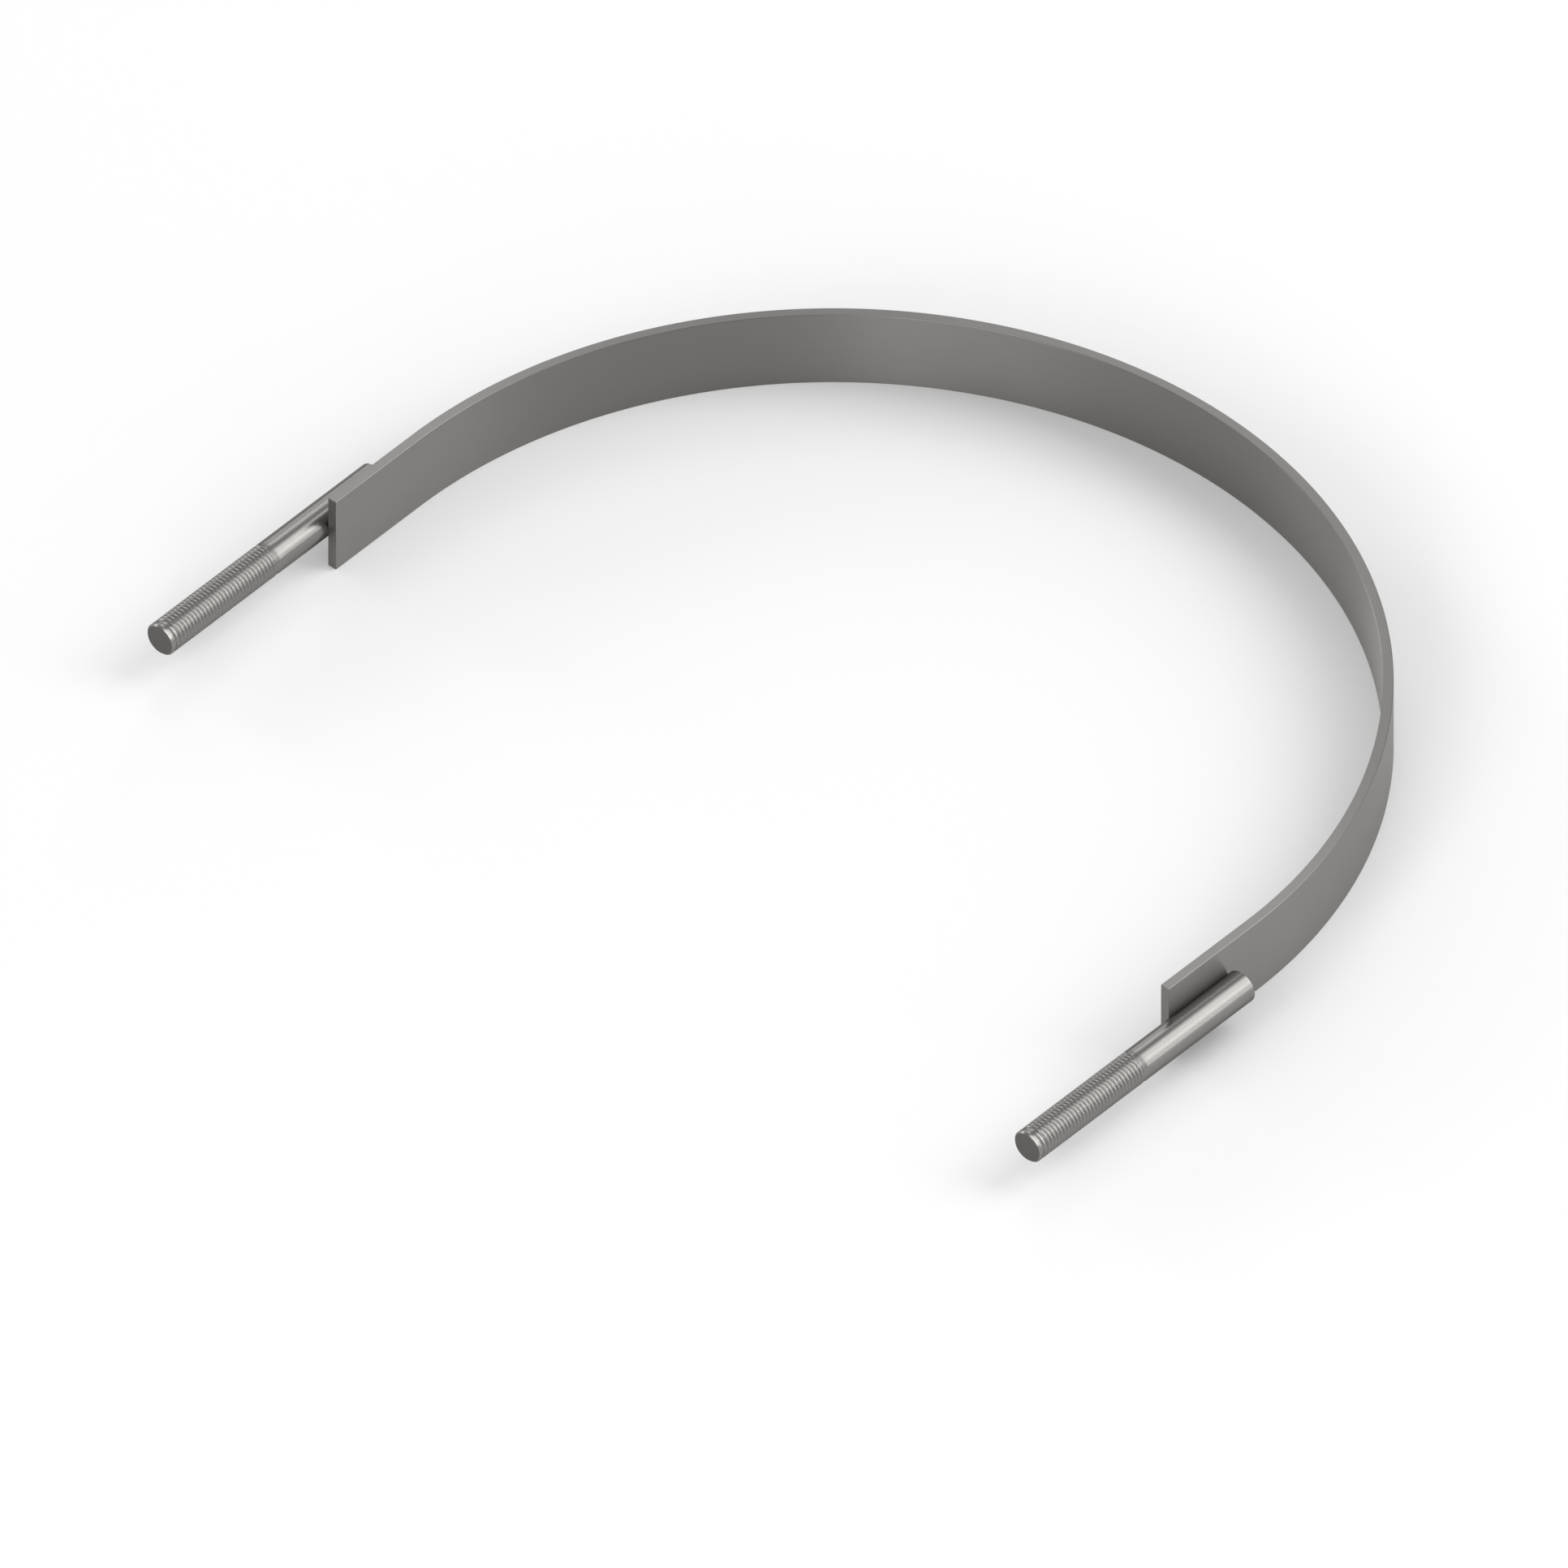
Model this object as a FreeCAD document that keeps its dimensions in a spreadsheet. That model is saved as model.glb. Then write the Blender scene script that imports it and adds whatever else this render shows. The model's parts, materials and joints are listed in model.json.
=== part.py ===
import FreeCAD, Part
import math
import os
import Sketcher

# Muffler clamp: a flat steel bar bent to a U round the muffler, with a part-threaded stud welded
# along the outer face of each leg. Millimetres. The origin is the centre of the bend at half the
# bar's width, +Z runs along the muffler, and the legs and studs point to -Y.

doc = FreeCAD.newDocument("MufflerClamp")

# Driving dimensions, one row each: alias, value in millimetres, what it is
SIZES = [
    ("seat_radius", 152.5, "inner radius of the bend, half of a 305 mm muffler"),
    ("strap_thickness", 3.0, "thickness of the flat bar"),
    ("strap_width", 25.0, "width of the flat bar, along the muffler"),
    ("leg_length", 35.6, "straight leg from the bend to the sawn end"),
    ("edge_round", 0.25, "radius on the rolled long edges of the bar"),
    ("stud_diameter", 10.0, "plain shank, and the thread over its crests"),
    ("stud_length", 90.0, "whole length of a stud"),
    ("weld_overlap", 25.0, "length of a stud that lies on its leg"),
    ("weld_set_down", 0.1, "depth that welding flattens a stud against the leg"),
    ("thread_length", 45.0, "threaded stretch, from the tip to the end of its run-out"),
    ("run_out_width", 1.35, "last turn of the thread, where it runs out"),
    ("run_out_depth", 0.3, "depth of that last turn"),
    ("tip_chamfer_length", 0.5, "lead-in at the tip, along the stud"),
    ("tip_chamfer_depth", 0.5, "lead-in at the tip, across the stud"),
    ("end_break", 0.3, "edge break at the blunt end"),
]

sheet = doc.addObject("Spreadsheet::Sheet", "Sizes")
for row, (alias, value, meaning) in enumerate(SIZES, start=1):
    sheet.set(f"A{row}", alias)
    sheet.set(f"B{row}", str(value))
    sheet.set(f"C{row}", meaning)
    sheet.setAlias(f"B{row}", alias)
doc.recompute()

# The sketcher's numbers for a line's or arc's two ends and centre, and for a sketch's own origin
START, END, CENTRE = 1, 2, 3
ORIGIN = (-1, 1)


def new_body(label):
    body = doc.addObject("PartDesign::Body", label)
    body.Label = label
    return body


def new_sketch(body, name, plane):
    """An empty sketch on one of the body's own origin planes."""
    sketch = body.newObject("Sketcher::SketchObject", name)
    support = next(f for f in body.Origin.OriginFeatures if f.Role == plane)
    sketch.AttachmentSupport = [(support, "")]
    sketch.MapMode = "FlatFace"
    return sketch


def point(x, y):
    return FreeCAD.Vector(x, y, 0)


def polygon(sketch, corners):
    """Closed chain of lines through the corners, joined end to end. Returns the lines' numbers."""
    lines = []
    for here, there in zip(corners, corners[1:] + corners[:1]):
        lines.append(sketch.addGeometry(Part.LineSegment(point(*here), point(*there)), False))
    for line, following in zip(lines, lines[1:] + lines[:1]):
        sketch.addConstraint(Sketcher.Constraint("Coincident", line, END, following, START))
    return lines


def dimension(sketch, expression, kind, *references):
    """A driving dimension of the sketch, bound to the sheet."""
    value = sheet_value(expression)
    number = sketch.addConstraint(Sketcher.Constraint(kind, *references, value))
    sketch.setExpression(f"Constraints[{number}]", expression)


def sheet_value(expression):
    """Present value of an expression on the sheet's aliases."""
    result = sheet.evalExpression(expression.replace("Sizes.", ""))
    return float(getattr(result, "Value", result))


# Strap: one flat bar, sawn to length and bent flatwise to a half circle with two straight legs
def make_strap():
    body = new_body("strap")
    inner = sheet_value("Sizes.seat_radius")
    outer = sheet_value("Sizes.seat_radius + Sizes.strap_thickness")
    foot = -sheet_value("Sizes.leg_length")

    outline = new_sketch(body, "StrapOutline", "XY_Plane")
    line = Part.LineSegment
    up = FreeCAD.Vector(0, 0, 1)
    seat, back = [
        outline.addGeometry(Part.ArcOfCircle(Part.Circle(point(0, 0), up, radius), 0, math.pi), False)
        for radius in (inner, outer)
    ]
    legs = {}
    for side in (1, -1):
        legs[side] = [
            outline.addGeometry(line(point(side * inner, 0), point(side * inner, foot)), False),
            outline.addGeometry(line(point(side * inner, foot), point(side * outer, foot)), False),
            outline.addGeometry(line(point(side * outer, foot), point(side * outer, 0)), False),
        ]
    for arc in (seat, back):
        outline.addConstraint(Sketcher.Constraint("Coincident", arc, CENTRE, *ORIGIN))
    for side, arc_end in ((1, START), (-1, END)):
        inside, sawn_end, outside = legs[side]
        outline.addConstraint(Sketcher.Constraint("Tangent", seat, arc_end, inside, START))
        outline.addConstraint(Sketcher.Constraint("Tangent", back, arc_end, outside, END))
        outline.addConstraint(Sketcher.Constraint("Coincident", inside, END, sawn_end, START))
        outline.addConstraint(Sketcher.Constraint("Coincident", sawn_end, END, outside, START))
        outline.addConstraint(Sketcher.Constraint("Vertical", inside))
        outline.addConstraint(Sketcher.Constraint("Vertical", outside))
        outline.addConstraint(Sketcher.Constraint("Horizontal", sawn_end))
    right_leg, right_end, _ = legs[1]
    left_leg = legs[-1][0]
    outline.addConstraint(Sketcher.Constraint("Equal", right_leg, left_leg))
    dimension(outline, "Sizes.seat_radius", "Radius", seat)
    dimension(outline, "Sizes.strap_thickness", "Distance", right_end)
    dimension(outline, "Sizes.leg_length", "Distance", right_leg)

    bar = body.newObject("PartDesign::Pad", "StrapBar")
    bar.Profile = outline
    bar.SideType = "Symmetric"
    bar.setExpression("Length", "Sizes.strap_width")
    doc.recompute()

    # the long edges lie in the bar's two side faces, and the short edges of the sawn ends stay sharp
    half_width = sheet_value("Sizes.strap_width / 2")
    long_edges = []
    for number, edge in enumerate(bar.Shape.Edges, start=1):
        box = edge.BoundBox
        in_side_face = box.ZLength < 1e-6 and abs(abs(box.ZMin) - half_width) < 1e-6
        across_sawn_end = box.YLength < 1e-6
        if in_side_face and not across_sawn_end:
            long_edges.append(f"Edge{number}")
    rounding = body.newObject("PartDesign::Fillet", "RolledEdges")
    rounding.Base = (bar, long_edges)
    rounding.setExpression("Radius", "Sizes.edge_round")
    doc.recompute()
    return body


# Stud: a round steel bar with a rolled thread and a lead-in chamfer at the tip, blunt at the other
# end. Its axis is the body's Y axis, its blunt end is at Y = 0 and its tip points to -Y.
def make_stud(label, half_turn_about_axis):
    body = new_body(label)
    radius = sheet_value("Sizes.stud_diameter / 2")
    length = sheet_value("Sizes.stud_length")
    thread_start = length - sheet_value("Sizes.thread_length")
    groove_width = sheet_value("Sizes.run_out_width")
    groove_radius = radius - sheet_value("Sizes.run_out_depth")
    chamfer_length = sheet_value("Sizes.tip_chamfer_length")
    tip_radius = radius - sheet_value("Sizes.tip_chamfer_depth")
    end_break = sheet_value("Sizes.end_break")

    profile = new_sketch(body, label + "_profile", "XY_Plane")
    corners = [
        (0, -length),
        (tip_radius, -length),
        (radius, -length + chamfer_length),
        (radius, -thread_start - groove_width),
        (groove_radius, -thread_start - groove_width / 2),
        (radius, -thread_start),
        (radius, -end_break),
        (radius - end_break, 0),
        (0, 0),
    ]
    lines = polygon(profile, corners)
    tip_face, chamfer, thread, run_out, ring_edge, shank, edge_break, blunt_end, axis = lines
    profile.addConstraint(Sketcher.Constraint("Coincident", blunt_end, END, *ORIGIN))
    for across in (tip_face, blunt_end):
        profile.addConstraint(Sketcher.Constraint("Horizontal", across))
    for along in (thread, shank, axis):
        profile.addConstraint(Sketcher.Constraint("Vertical", along))
    for wall in (thread, shank):
        dimension(profile, "Sizes.stud_diameter / 2", "DistanceX", *ORIGIN, wall, START)
    dimension(profile, "Sizes.stud_length", "Distance", axis)
    dimension(profile, "Sizes.thread_length", "DistanceY", tip_face, START, shank, START)
    dimension(profile, "Sizes.tip_chamfer_depth", "DistanceX", chamfer, START, chamfer, END)
    dimension(profile, "Sizes.tip_chamfer_length", "DistanceY", chamfer, START, chamfer, END)
    dimension(profile, "Sizes.run_out_width", "DistanceY", thread, END, shank, START)
    dimension(profile, "Sizes.run_out_width / 2", "DistanceY", ring_edge, START, ring_edge, END)
    dimension(profile, "Sizes.run_out_depth", "DistanceX", ring_edge, START, ring_edge, END)
    dimension(profile, "Sizes.end_break", "DistanceX", edge_break, END, edge_break, START)
    dimension(profile, "Sizes.end_break", "DistanceY", edge_break, START, edge_break, END)

    turned = body.newObject("PartDesign::Revolution", label + "_turned")
    turned.Profile = profile
    turned.ReferenceAxis = (profile, ["V_Axis"])
    turned.Angle = 360
    doc.recompute()

    # Weld flat: welding presses the stud's side flat over its length on the leg. The sketch looks
    # along the stud, and the flat is on the body's -X side.
    flat_at = radius - sheet_value("Sizes.weld_set_down")
    section = new_sketch(body, label + "_weld_section", "XZ_Plane")
    inner_edge, top, outer_edge, bottom = polygon(
        section, [(-flat_at, -radius), (-flat_at, radius), (-2 * radius, radius), (-2 * radius, -radius)]
    )
    for upright in (inner_edge, outer_edge):
        section.addConstraint(Sketcher.Constraint("Vertical", upright))
    for level in (top, bottom):
        section.addConstraint(Sketcher.Constraint("Horizontal", level))
    to_flat = "Sizes.stud_diameter / 2 - Sizes.weld_set_down"
    dimension(section, to_flat, "DistanceX", inner_edge, START, *ORIGIN)
    dimension(section, "Sizes.stud_diameter", "DistanceX", outer_edge, START, *ORIGIN)
    dimension(section, "Sizes.stud_diameter / 2", "DistanceY", *ORIGIN, inner_edge, END)
    dimension(section, "Sizes.stud_diameter", "Distance", inner_edge)
    before = turned.Shape.Volume
    flat = body.newObject("PartDesign::Pocket", label + "_weld_flat")
    flat.Profile = section
    flat.Type = "Length"
    flat.setExpression("Length", "Sizes.weld_overlap")
    flat.Reversed = True
    doc.recompute()
    if not flat.Shape.Volume < before:
        raise RuntimeError(f"{label}: the weld flat cuts nothing")

    # seated on the outer face of its leg at half the bar's width, with its blunt end as far up the
    # leg as the weld is long
    side, turn = (-1, 180) if half_turn_about_axis else (1, 0)
    leg_face = "Sizes.seat_radius + Sizes.strap_thickness"
    body.Placement.Rotation = FreeCAD.Rotation(FreeCAD.Vector(0, 1, 0), turn)
    body.setExpression("Placement.Base.x", f"{side} * ({leg_face} + {to_flat})")
    body.setExpression("Placement.Base.y", "Sizes.weld_overlap - Sizes.leg_length")
    doc.recompute()
    return body


pieces = [
    make_strap(),
    make_stud("stud_right", half_turn_about_axis=False),
    make_stud("stud_left", half_turn_about_axis=True),
]
doc.recompute()

for item in doc.Objects:
    if "Invalid" in item.State or "Error" in item.State:
        raise RuntimeError(f"{item.Label} failed: {item.State}")
for piece in pieces:
    if piece.Shape.isNull() or not piece.Shape.isValid():
        raise RuntimeError(f"{piece.Label} has no valid shape")

os.makedirs("parts", exist_ok=True)
for piece in pieces:
    piece.Shape.exportStep(f"parts/{piece.Label}.step")
    print(f"{piece.Label}: {len(piece.Shape.Solids)} solid, {piece.Shape.Volume:.1f} mm3")
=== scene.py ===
import json
import math

import bmesh
import bpy
import numpy as np
from mathutils import Matrix, Vector


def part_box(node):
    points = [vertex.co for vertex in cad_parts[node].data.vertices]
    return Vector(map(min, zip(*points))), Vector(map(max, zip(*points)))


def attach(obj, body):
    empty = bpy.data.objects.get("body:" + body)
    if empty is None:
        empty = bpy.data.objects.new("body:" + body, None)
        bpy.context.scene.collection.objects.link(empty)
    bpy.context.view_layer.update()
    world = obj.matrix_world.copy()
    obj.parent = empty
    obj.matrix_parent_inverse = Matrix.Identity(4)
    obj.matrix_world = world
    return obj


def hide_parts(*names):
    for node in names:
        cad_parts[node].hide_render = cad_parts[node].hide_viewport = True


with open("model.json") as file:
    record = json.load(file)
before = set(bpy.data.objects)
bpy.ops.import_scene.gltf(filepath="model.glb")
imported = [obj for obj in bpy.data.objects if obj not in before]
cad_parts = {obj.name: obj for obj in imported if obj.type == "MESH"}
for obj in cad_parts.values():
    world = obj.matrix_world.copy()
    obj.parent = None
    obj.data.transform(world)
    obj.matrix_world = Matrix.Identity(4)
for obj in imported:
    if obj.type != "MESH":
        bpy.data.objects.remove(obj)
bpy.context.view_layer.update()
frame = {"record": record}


# Strap. A length of rolled flat steel bar, sawn square and bent flatwise to a half circle with two
# straight legs. The rolls leave a small radius on its long edges and a grey satin skin with a faint
# grain along the bar, and the saw leaves a fine break round each end.
strap_low, strap_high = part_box("strap")
mounts = {mount["name"]: mount for mount in frame["record"]["mounts"]}
SEAT_RADIUS = mounts["muffler_seat"]["dims"]["r_mm"] / 1000
THICKNESS = strap_high.x - SEAT_RADIUS
WIDTH = strap_high.z - strap_low.z
LEG = -strap_low.y
ROLLED_RADIUS = 0.25e-3
SAWN_BREAK = 0.1e-3
BEND_STEPS = 360
LEG_STEPS = 12
CORNER_STEPS = 6
EDGE_SUPPORT = 0.06e-3


def u_path():
    """Middle line of the bar from the left leg's end to the right one's, and the outward normal there.
    The legs run straight at plus and minus the middle radius, and the bend is a half circle."""
    middle = SEAT_RADIUS + THICKNESS / 2
    up_leg = np.concatenate([[-LEG, -LEG + SAWN_BREAK], np.linspace(-LEG, 0, LEG_STEPS)[1:-1]])
    turn = np.linspace(math.pi, 0, BEND_STEPS + 1)
    place = np.concatenate([
        np.stack([np.full(len(up_leg), -middle), up_leg], 1),
        middle * np.stack([np.cos(turn), np.sin(turn)], 1),
        np.stack([np.full(len(up_leg), middle), up_leg[::-1]], 1),
    ])
    normal = np.concatenate([
        np.tile([-1.0, 0.0], (len(up_leg), 1)),
        np.stack([np.cos(turn), np.sin(turn)], 1),
        np.tile([1.0, 0.0], (len(up_leg), 1)),
    ])
    return place, normal


def bar_section():
    """The bar's section as a closed loop of (through the thickness, across the width).
    Each corner is a quarter circle of the rolled radius, with a support point on both flats beside it."""
    corners = []
    for quarter, (side, level) in enumerate([(1, 1), (-1, 1), (-1, -1), (1, -1)]):
        centre = np.array([side * (THICKNESS / 2 - ROLLED_RADIUS), level * (WIDTH / 2 - ROLLED_RADIUS)])
        angle = math.pi / 2 * (quarter + np.linspace(0, 1, CORNER_STEPS + 1))
        arc = centre + ROLLED_RADIUS * np.stack([np.cos(angle), np.sin(angle)], 1)
        along = np.stack([-np.sin(angle[[0, -1]]), np.cos(angle[[0, -1]])], 1)
        before = arc[0] - EDGE_SUPPORT * along[0]
        after = arc[-1] + EDGE_SUPPORT * along[1]
        corners += [before[None], arc, after[None]]
    return np.concatenate(corners)


def strap_mesh():
    """Sweep of the section along the path: place + normal * through + up * across, closed by a flat face
    at each sawn end. The first and last rings are drawn in by the saw's break."""
    place, normal = u_path()
    section = bar_section()
    rings, points = len(place), len(section)
    scale = np.ones((rings, 2))
    scale[[0, -1]] = 1 - SAWN_BREAK / np.array([THICKNESS / 2, WIDTH / 2])
    through = section[:, 0] * scale[:, :1]
    across = section[:, 1] * scale[:, 1:]
    co = np.empty((rings, points, 3))
    co[..., :2] = place[:, None] + normal[:, None] * through[..., None]
    co[..., 2] = across
    ring = np.arange(rings - 1)[:, None] * points
    here, there = np.arange(points), (np.arange(points) + 1) % points
    quads = np.stack([ring + here, ring + points + here, ring + points + there, ring + there], -1)
    first = list(range(points))
    last = [(rings - 1) * points + i for i in reversed(range(points))]
    mesh = bpy.data.meshes.new("strap_bar")
    mesh.from_pydata(co.reshape(-1, 3), [], quads.reshape(-1, 4).tolist() + [first, last])
    along = np.concatenate([[0], np.cumsum(np.linalg.norm(np.diff(place, axis=0), axis=1))])
    girth = np.concatenate([[0], np.cumsum(np.linalg.norm(np.diff(section, axis=0), axis=1))])
    lay_grain(mesh, np.stack(np.broadcast_arrays(along[:, None], girth), -1).reshape(-1, 2))
    return mesh


def lay_grain(mesh, along_and_round):
    """UV map in metres: first the way along the bar, then the way round it."""
    uv = mesh.uv_layers.new(name="grain")
    corner = np.empty(len(mesh.loops), np.int32)
    mesh.loops.foreach_get("vertex_index", corner)
    uv.uv.foreach_set("vector", along_and_round[corner].astype(np.float32).ravel())


def piece_of(name, mesh, sharp_degrees):
    """Object of a finished mesh: faces outward, smooth but for edges sharper than the given angle."""
    work = bmesh.new()
    work.from_mesh(mesh)
    bmesh.ops.recalc_face_normals(work, faces=work.faces)
    work.to_mesh(mesh)
    work.free()
    mesh.shade_smooth()
    mesh.set_sharp_from_angle(angle=math.radians(sharp_degrees))
    piece = bpy.data.objects.new(name, mesh)
    bpy.context.scene.collection.objects.link(piece)
    return piece


def rolled_steel():
    """Metal with a fine grain along the bar, from noise stretched along the bar's own length. The grain
    spreads its shine across the bar, and slow noise gives the skin a faint unevenness."""
    material = bpy.data.materials.new("rolled_bar_steel")
    material.use_nodes = True
    nodes, links = material.node_tree.nodes, material.node_tree.links
    shader = nodes["Principled BSDF"]
    shader.inputs["Metallic"].default_value = 1
    shader.inputs["Anisotropic"].default_value = 0.85
    shader.inputs["Anisotropic Rotation"].default_value = 0.25
    along = nodes.new("ShaderNodeTangent")
    along.direction_type = "UV_MAP"
    along.uv_map = "grain"
    place = nodes.new("ShaderNodeUVMap")
    place.uv_map = "grain"
    stretch = nodes.new("ShaderNodeMapping")
    stretch.inputs["Scale"].default_value = (0.03, 1, 1)
    grain = nodes.new("ShaderNodeTexNoise")
    grain.inputs["Scale"].default_value = 1500
    grain.inputs["Detail"].default_value = 3
    solid = nodes.new("ShaderNodeTexCoord")
    clouds = nodes.new("ShaderNodeTexNoise")
    clouds.inputs["Scale"].default_value = 45
    clouds.inputs["Detail"].default_value = 4
    blend = nodes.new("ShaderNodeMix")
    blend.inputs["Factor"].default_value = 0.35
    tone = nodes.new("ShaderNodeMix")
    tone.data_type = "RGBA"
    tone.inputs["A"].default_value = (0.216, 0.209, 0.202, 1)
    tone.inputs["B"].default_value = (0.248, 0.241, 0.233, 1)
    gloss = nodes.new("ShaderNodeMapRange")
    gloss.inputs["To Min"].default_value = 0.36
    gloss.inputs["To Max"].default_value = 0.48
    bump = nodes.new("ShaderNodeBump")
    bump.inputs["Strength"].default_value = 0.1
    bump.inputs["Distance"].default_value = 0.02e-3
    links.new(place.outputs["UV"], stretch.inputs["Vector"])
    links.new(stretch.outputs["Vector"], grain.inputs["Vector"])
    links.new(solid.outputs["Object"], clouds.inputs["Vector"])
    links.new(grain.outputs["Fac"], blend.inputs["A"])
    links.new(clouds.outputs["Fac"], blend.inputs["B"])
    links.new(blend.outputs["Result"], tone.inputs["Factor"])
    links.new(blend.outputs["Result"], gloss.inputs["Value"])
    links.new(grain.outputs["Fac"], bump.inputs["Height"])
    links.new(tone.outputs["Result"], shader.inputs["Base Color"])
    links.new(gloss.outputs["Result"], shader.inputs["Roughness"])
    links.new(bump.outputs["Normal"], shader.inputs["Normal"])
    links.new(along.outputs["Tangent"], shader.inputs["Tangent"])
    return material


strap = piece_of("strap_bar", strap_mesh(), sharp_degrees=35)
strap.data.materials.append(rolled_steel())
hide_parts("strap")
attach(strap, "root")


# Studs. Two lengths of bright drawn round bar, each with a right-hand thread over half its length and a
# chamfered tip. The thread is rolled with wide lands, starts behind the chamfer, and runs out on a
# short cone. The blunt end is welded to the leg's outer face, set down on a narrow flat.
PITCH = 1.345e-3
CREST_AT = -95.27e-3
SEEN_SIDE = math.radians(36.7)
LAND = 0.37
ROOT = 0.1
THREAD_DEPTH = 0.38e-3
FIRST_GROOVE_BEFORE = 1.4
FIRST_GROOVE_SHIFT = 0.55e-3
THREAD_START = 1.0e-3
START_FADE = 1.5e-3
RUN_OUT_CONE = 1.45e-3
RUN_OUT_PAST = 0.45e-3
RUN_OUT_DEPTH = 0.2e-3
RUN_OUT_BLEND = 0.3e-3
THREAD_LENGTH = 45e-3
TIP_CHAMFER_LENGTH = 0.5e-3
TIP_CHAMFER_DEPTH = 0.5e-3
BLUNT_BREAK = 0.15e-3
# Depth, from each end plane of a stud, of the painted shade on its end faces.
END_SHADE_SKIN = 0.02e-3
SHANK_RINGS = 24
END_RING_SHARES = np.array([1, 0.98, 0.6, 0.2])
MERGE_DISTANCE = 1e-7
SEAT_MARGIN = 1e-6
COLUMNS = 96
PITCH_STEPS = np.array([
    -0.185, -0.09, 0, 0.09, 0.185, 0.23, 0.274, 0.318, 0.362, 0.406, 0.45,
    0.55, 0.594, 0.638, 0.682, 0.726, 0.77,
])


def thread_depth(step):
    """Depth of the thread at a step along one pitch, counted from the land's middle: nothing on the land,
    a rounded flank that falls by d * (1 - cos(pi t)) / 2, and a flat root."""
    away = np.minimum(step % 1, 1 - step % 1)
    down_flank = ((away - LAND / 2) / (0.5 - ROOT / 2 - LAND / 2)).clip(0, 1)
    return THREAD_DEPTH * (1 - np.cos(math.pi * down_flank)) / 2


def ease(value):
    """Smooth step from 0 to 1: 3 t^2 - 2 t^3, with t held between 0 and 1."""
    t = value.clip(0, 1)
    return t * t * (3 - 2 * t)


def stud_radius(y, depth, low, end, radius):
    """Bar radius less the thread, and less the run-out cone, whose depth is d * t at the share t of its
    length before the shank."""
    started = ease((y - low - THREAD_START) / START_FADE)
    cone = RUN_OUT_DEPTH * ((end - y) / RUN_OUT_CONE).clip(0, 1)
    leaving = ease((y - end + RUN_OUT_CONE) / RUN_OUT_BLEND + 0.5)
    return radius - depth * started * (1 - leaving) - cone * leaving


def ring_points(y, r, theta):
    """Points at distance r from the stud's axis and at an angle from +Z towards +X."""
    return np.stack(np.broadcast_arrays(r * np.sin(theta), y, r * np.cos(theta)), -1)


def stud_mesh(name, low, high, seat_side):
    """The stud as a skin round its axis. Over the thread the rows follow the helix, one pitch further
    after each turn: y = crest + pitch * (step + turn), where a land's middle passes CREST_AT at the
    angle SEEN_SIDE. The grooves nearest the tip lie a little closer to it, and the rows stop at the
    chamfer and at the run-out. Plain rings make the chamfer and the shank, and rings that close on a
    middle point make the two ends. Rows that meet are merged, and the seat is pressed flat."""
    axis_x, radius = (low.x + high.x) / 2, (high.z - low.z) / 2
    shoulder = low.y + TIP_CHAMFER_LENGTH
    end = low.y + THREAD_LENGTH + RUN_OUT_PAST
    steps = len(PITCH_STEPS)
    first = math.floor((low.y - CREST_AT) / PITCH) - 2
    turns = math.ceil((end - low.y) / PITCH) + 5
    theta = np.arange(turns * COLUMNS)[:, None] * 2 * math.pi / COLUMNS
    y = CREST_AT + PITCH * (first + PITCH_STEPS + (theta - SEEN_SIDE) / (2 * math.pi))
    y = y - FIRST_GROOVE_SHIFT * ease((CREST_AT - y) / PITCH - FIRST_GROOVE_BEFORE)
    y = y.clip(shoulder, end)
    thread_r = stud_radius(y, thread_depth(PITCH_STEPS), low.y, end, radius)
    co = [ring_points(y, thread_r, theta).reshape(-1, 3)]
    here = np.arange((turns - 1) * COLUMNS - 1)[:, None] * steps
    k = np.arange(steps)
    above = np.where(k + 1 < steps, k + 1, COLUMNS * steps)
    faces = [np.stack([here + k, here + steps + k, here + steps + above, here + above], -1).reshape(-1, 4)]

    column = np.arange(COLUMNS)
    beside = (column + 1) % COLUMNS
    angle = column * 2 * math.pi / COLUMNS
    shank_y = np.append(np.linspace(end, high.y - BLUNT_BREAK, SHANK_RINGS), high.y)[:, None]
    shank_r = np.append(np.full(SHANK_RINGS, radius), radius - BLUNT_BREAK)[:, None]
    share = END_RING_SHARES[:, None]
    base = len(co[0])
    for ring_y, ring_r, closed in (
        (np.array([[low.y], [shoulder]]), np.array([[radius - TIP_CHAMFER_DEPTH], [radius]]), False),
        (shank_y, shank_r, False),
        (np.full(share.shape, low.y), (radius - TIP_CHAMFER_DEPTH) * share, True),
        (np.full(share.shape, high.y), (radius - BLUNT_BREAK) * share, True),
    ):
        row = base + np.arange(len(ring_y) - 1)[:, None] * COLUMNS
        quads = np.stack([row + column, row + beside, row + COLUMNS + beside, row + COLUMNS + column], -1)
        faces.append(quads.reshape(-1, 4))
        co.append(ring_points(ring_y, ring_r, angle).reshape(-1, 3))
        base += len(ring_y) * COLUMNS
        if closed:
            co.append(np.array([[0, ring_y[0, 0], 0]]))
            rim = base - COLUMNS
            faces.append(np.stack([rim + column, rim + beside, np.full(COLUMNS, base)], -1))
            base += 1
    co = np.concatenate(co)
    seat = abs(axis_x) - SEAT_RADIUS - THICKNESS
    on_leg = (co[:, 1] > -LEG - SEAT_MARGIN) & (co[:, 0] * seat_side > seat)
    co[on_leg, 0] = seat * seat_side
    co[:, 0] += axis_x

    mesh = bpy.data.meshes.new(name)
    mesh.from_pydata(co, [], [face for group in faces for face in group.tolist()])
    work = bmesh.new()
    work.from_mesh(mesh)
    bmesh.ops.remove_doubles(work, verts=work.verts, dist=MERGE_DISTANCE)
    bmesh.ops.dissolve_degenerate(work, edges=work.edges, dist=MERGE_DISTANCE)
    work.to_mesh(mesh)
    work.free()
    return mesh


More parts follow.
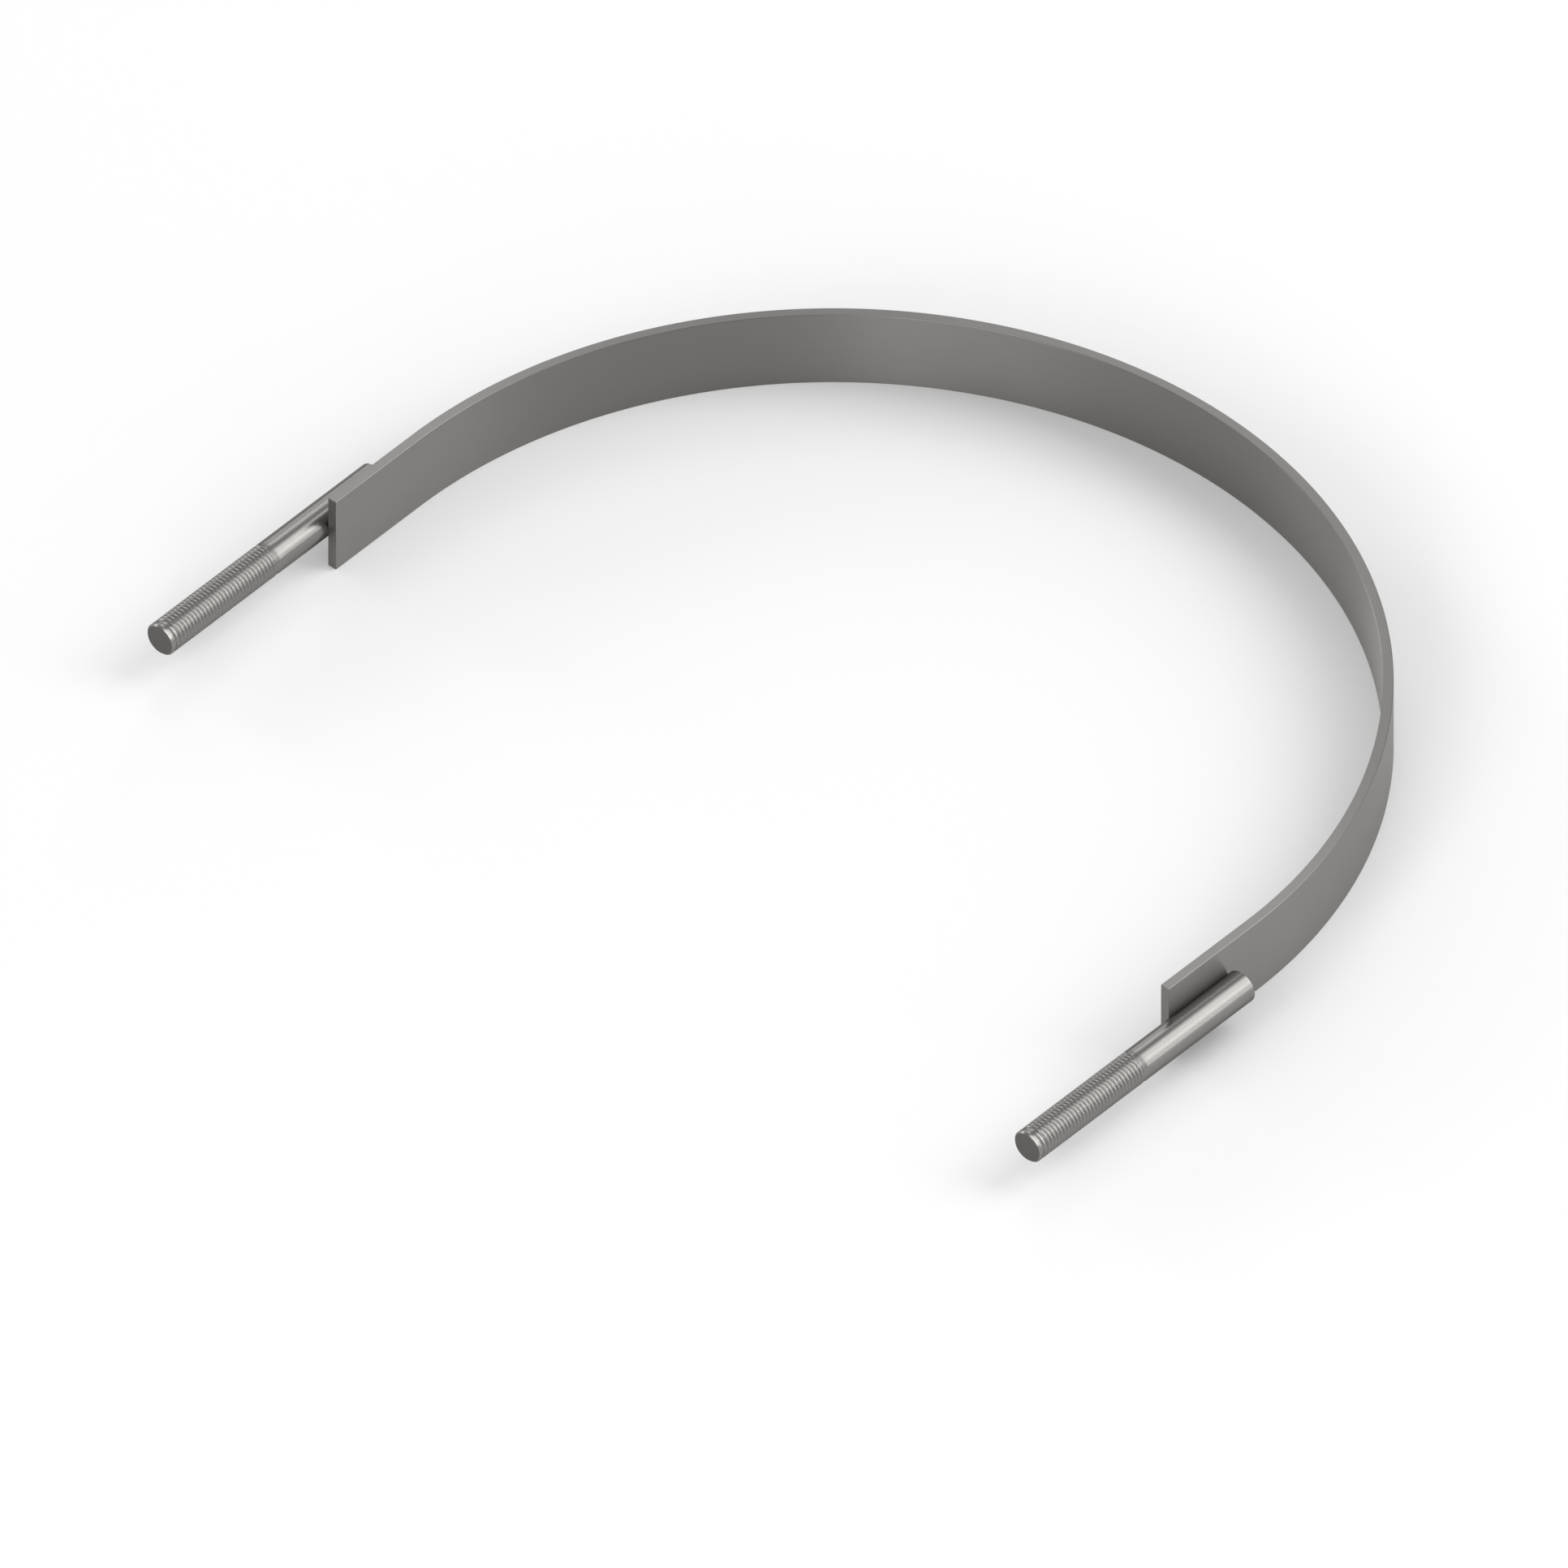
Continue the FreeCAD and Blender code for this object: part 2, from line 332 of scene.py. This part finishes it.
def drawn_steel(tip_y, blunt_y):
    """Metal with fine draw lines along the stud, from noise stretched along Y. At grazing angles it
    mirrors less than clean metal. Within a thin skin at either end plane its colour is painted darker:
    painted shade that stands in for the darker reflection the end faces show."""
    material = bpy.data.materials.new("drawn_bar_steel")
    material.use_nodes = True
    nodes, links = material.node_tree.nodes, material.node_tree.links
    shader = nodes["Principled BSDF"]
    shader.inputs["Metallic"].default_value = 1
    shader.inputs["Specular Tint"].default_value = (0.45, 0.45, 0.45, 1)
    place = nodes.new("ShaderNodeTexCoord")
    stretch = nodes.new("ShaderNodeMapping")
    stretch.inputs["Scale"].default_value = (1, 0.05, 1)
    lines = nodes.new("ShaderNodeTexNoise")
    lines.inputs["Scale"].default_value = 1400
    lines.inputs["Detail"].default_value = 3
    tone = nodes.new("ShaderNodeMix")
    tone.data_type = "RGBA"
    tone.inputs["A"].default_value = (0.236, 0.229, 0.22, 1)
    tone.inputs["B"].default_value = (0.263, 0.256, 0.247, 1)
    gloss = nodes.new("ShaderNodeMapRange")
    gloss.inputs["To Min"].default_value = 0.24
    gloss.inputs["To Max"].default_value = 0.31
    bump = nodes.new("ShaderNodeBump")
    bump.inputs["Strength"].default_value = 0.1
    bump.inputs["Distance"].default_value = 0.02e-3
    middle = nodes.new("ShaderNodeSeparateXYZ")
    length = nodes.new("ShaderNodeMath")
    length.operation = "SUBTRACT"
    length.inputs[1].default_value = (tip_y + blunt_y) / 2
    reach = nodes.new("ShaderNodeMath")
    reach.operation = "ABSOLUTE"
    end_shade_mask = nodes.new("ShaderNodeMath")
    end_shade_mask.operation = "GREATER_THAN"
    end_shade_mask.inputs[1].default_value = (blunt_y - tip_y) / 2 - END_SHADE_SKIN
    # Painted shade: the end faces take a darker colour in place of the darker reflection they show.
    face = nodes.new("ShaderNodeMix")
    face.data_type = "RGBA"
    face.inputs["B"].default_value = (0.138, 0.135, 0.13, 1)
    links.new(place.outputs["Object"], middle.inputs["Vector"])
    links.new(middle.outputs["Y"], length.inputs[0])
    links.new(length.outputs["Value"], reach.inputs[0])
    links.new(reach.outputs["Value"], end_shade_mask.inputs[0])
    links.new(end_shade_mask.outputs["Value"], face.inputs["Factor"])
    links.new(tone.outputs["Result"], face.inputs["A"])
    links.new(place.outputs["Object"], stretch.inputs["Vector"])
    links.new(stretch.outputs["Vector"], lines.inputs["Vector"])
    links.new(lines.outputs["Fac"], tone.inputs["Factor"])
    links.new(lines.outputs["Fac"], gloss.inputs["Value"])
    links.new(lines.outputs["Fac"], bump.inputs["Height"])
    links.new(face.outputs["Result"], shader.inputs["Base Color"])
    links.new(gloss.outputs["Result"], shader.inputs["Roughness"])
    links.new(bump.outputs["Normal"], shader.inputs["Normal"])
    return material


stud_low, stud_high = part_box("stud_right")
stud_steel = drawn_steel(stud_low.y, stud_high.y)
for node, seat_side in (("stud_left", 1), ("stud_right", -1)):
    stud_low, stud_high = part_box(node)
    threaded = stud_mesh(node + "_threaded", stud_low, stud_high, seat_side)
    stud = piece_of(node + "_threaded", threaded, sharp_degrees=40)
    stud.data.materials.append(stud_steel)
    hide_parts(node)
    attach(stud, "root")


# Floor. A pale sheet without any gloss, much larger than the clamp. The clamp lies on it by the
# strap's lower edge.
FLOOR_SIZE = 12
bpy.ops.mesh.primitive_plane_add(size=FLOOR_SIZE, location=(0, 0, strap_low.z))
floor = bpy.context.object
floor.name = "floor"
paint = bpy.data.materials.new("pale_floor")
paint.use_nodes = True
matt = paint.node_tree.nodes["Principled BSDF"]
matt.inputs["Base Color"].default_value = (0.95, 0.95, 0.95, 1)
matt.inputs["Roughness"].default_value = 1
matt.inputs["Specular IOR Level"].default_value = 0
floor.data.materials.append(paint)


# World. A weak, even and white light from all round, which lifts the sides that no lamp reaches and
# brings the floor up to white.
world = bpy.data.worlds.new("studio")
bpy.context.scene.world = world
world.use_nodes = True
weak = world.node_tree.nodes["Background"]
weak.inputs["Color"].default_value = (1, 1, 1, 1)
weak.inputs["Strength"].default_value = 0.53


# Lamps. Soft lamps at one distance from the clamp, each aimed at it. Three softboxes side by side draw
# the bright band along the studs, the low lamps draw the bands of light along the bend, and the rest
# fill in. A box's length runs across the studs and its width along them.
LAMP_DISTANCE = 2.5
for lamp_name, shape, azimuth, elevation, length, width, watts in (
    ("stud_band_low", "RECTANGLE", 40.4, 30.0, 0.82, 1.5, 10.2),
    ("stud_band_middle", "RECTANGLE", 50.2, 43.1, 0.82, 1.5, 7.2),
    ("stud_band_high", "RECTANGLE", 67.9, 52.7, 0.82, 1.5, 7.6),
    ("back_left_middle", "RECTANGLE", 144, 17, 0.6, 0.9, 2.5),
    ("back_left_high", "ELLIPSE", 135, 42, 1.0, 1.0, 4.0),
    ("back_low", "ELLIPSE", 120, 12, 0.8, 0.8, 5.8),
    ("left_low", "ELLIPSE", 180, 12, 0.8, 0.8, 11.0),
    ("front_left_low", "ELLIPSE", 210, 12, 0.8, 0.8, 4.8),
    ("right_low", "ELLIPSE", 30, 12, 0.8, 0.8, 3.7),
    ("front_low", "ELLIPSE", 300, 12, 0.8, 0.8, 8.0),
    ("front_middle", "ELLIPSE", 275, 24, 0.7, 0.7, 5.9),
    ("front_right", "ELLIPSE", 292, 27, 0.7, 0.7, 4.6),
    ("front_high", "ELLIPSE", 270, 38, 1.0, 1.0, 6.0),
):
    lamp_data = bpy.data.lights.new(lamp_name, "AREA")
    lamp_data.shape = shape
    lamp_data.size = length
    lamp_data.size_y = width
    lamp_data.energy = watts
    lamp = bpy.data.objects.new(lamp_name, lamp_data)
    away = Vector((
        math.cos(math.radians(azimuth)) * math.cos(math.radians(elevation)),
        math.sin(math.radians(azimuth)) * math.cos(math.radians(elevation)),
        math.sin(math.radians(elevation)),
    ))
    across_studs = away.cross(Vector((0, 1, 0))).normalized()
    lamp.location = away * LAMP_DISTANCE
    lamp.rotation_mode = "QUATERNION"
    facing = Matrix((across_studs, away.cross(across_studs), away)).transposed()
    lamp.rotation_quaternion = facing.to_quaternion()
    bpy.context.scene.collection.objects.link(lamp)


# Camera. A parallel view from the front right and above, at the photograph's angle and scale. The two
# shifts place the bend's centre in the picture.
AZIMUTH, ELEVATION = math.radians(41.39), math.radians(41.56)
PHOTO_PIXELS = 1932
PIXELS_PER_METRE = 4440.5
VIEW_DISTANCE = 1.5
SHIFT_RIGHT, SHIFT_UP = -13.67e-3, -19.61e-3
back = Vector((
    math.sin(AZIMUTH) * math.cos(ELEVATION),
    -math.cos(AZIMUTH) * math.cos(ELEVATION),
    math.sin(ELEVATION),
))
right = Vector((math.cos(AZIMUTH), math.sin(AZIMUTH), 0))
up = back.cross(right)
camera_data = bpy.data.cameras.new("camera")
camera_data.type = "ORTHO"
camera_data.ortho_scale = PHOTO_PIXELS / PIXELS_PER_METRE
camera = bpy.data.objects.new("camera", camera_data)
bpy.context.scene.collection.objects.link(camera)
camera.location = right * SHIFT_RIGHT + up * SHIFT_UP + back * VIEW_DISTANCE
camera.rotation_mode = "QUATERNION"
camera.rotation_quaternion = (-back).to_track_quat("-Z", "Y")
bpy.context.scene.camera = camera
bpy.context.scene.view_settings.view_transform = "Standard"
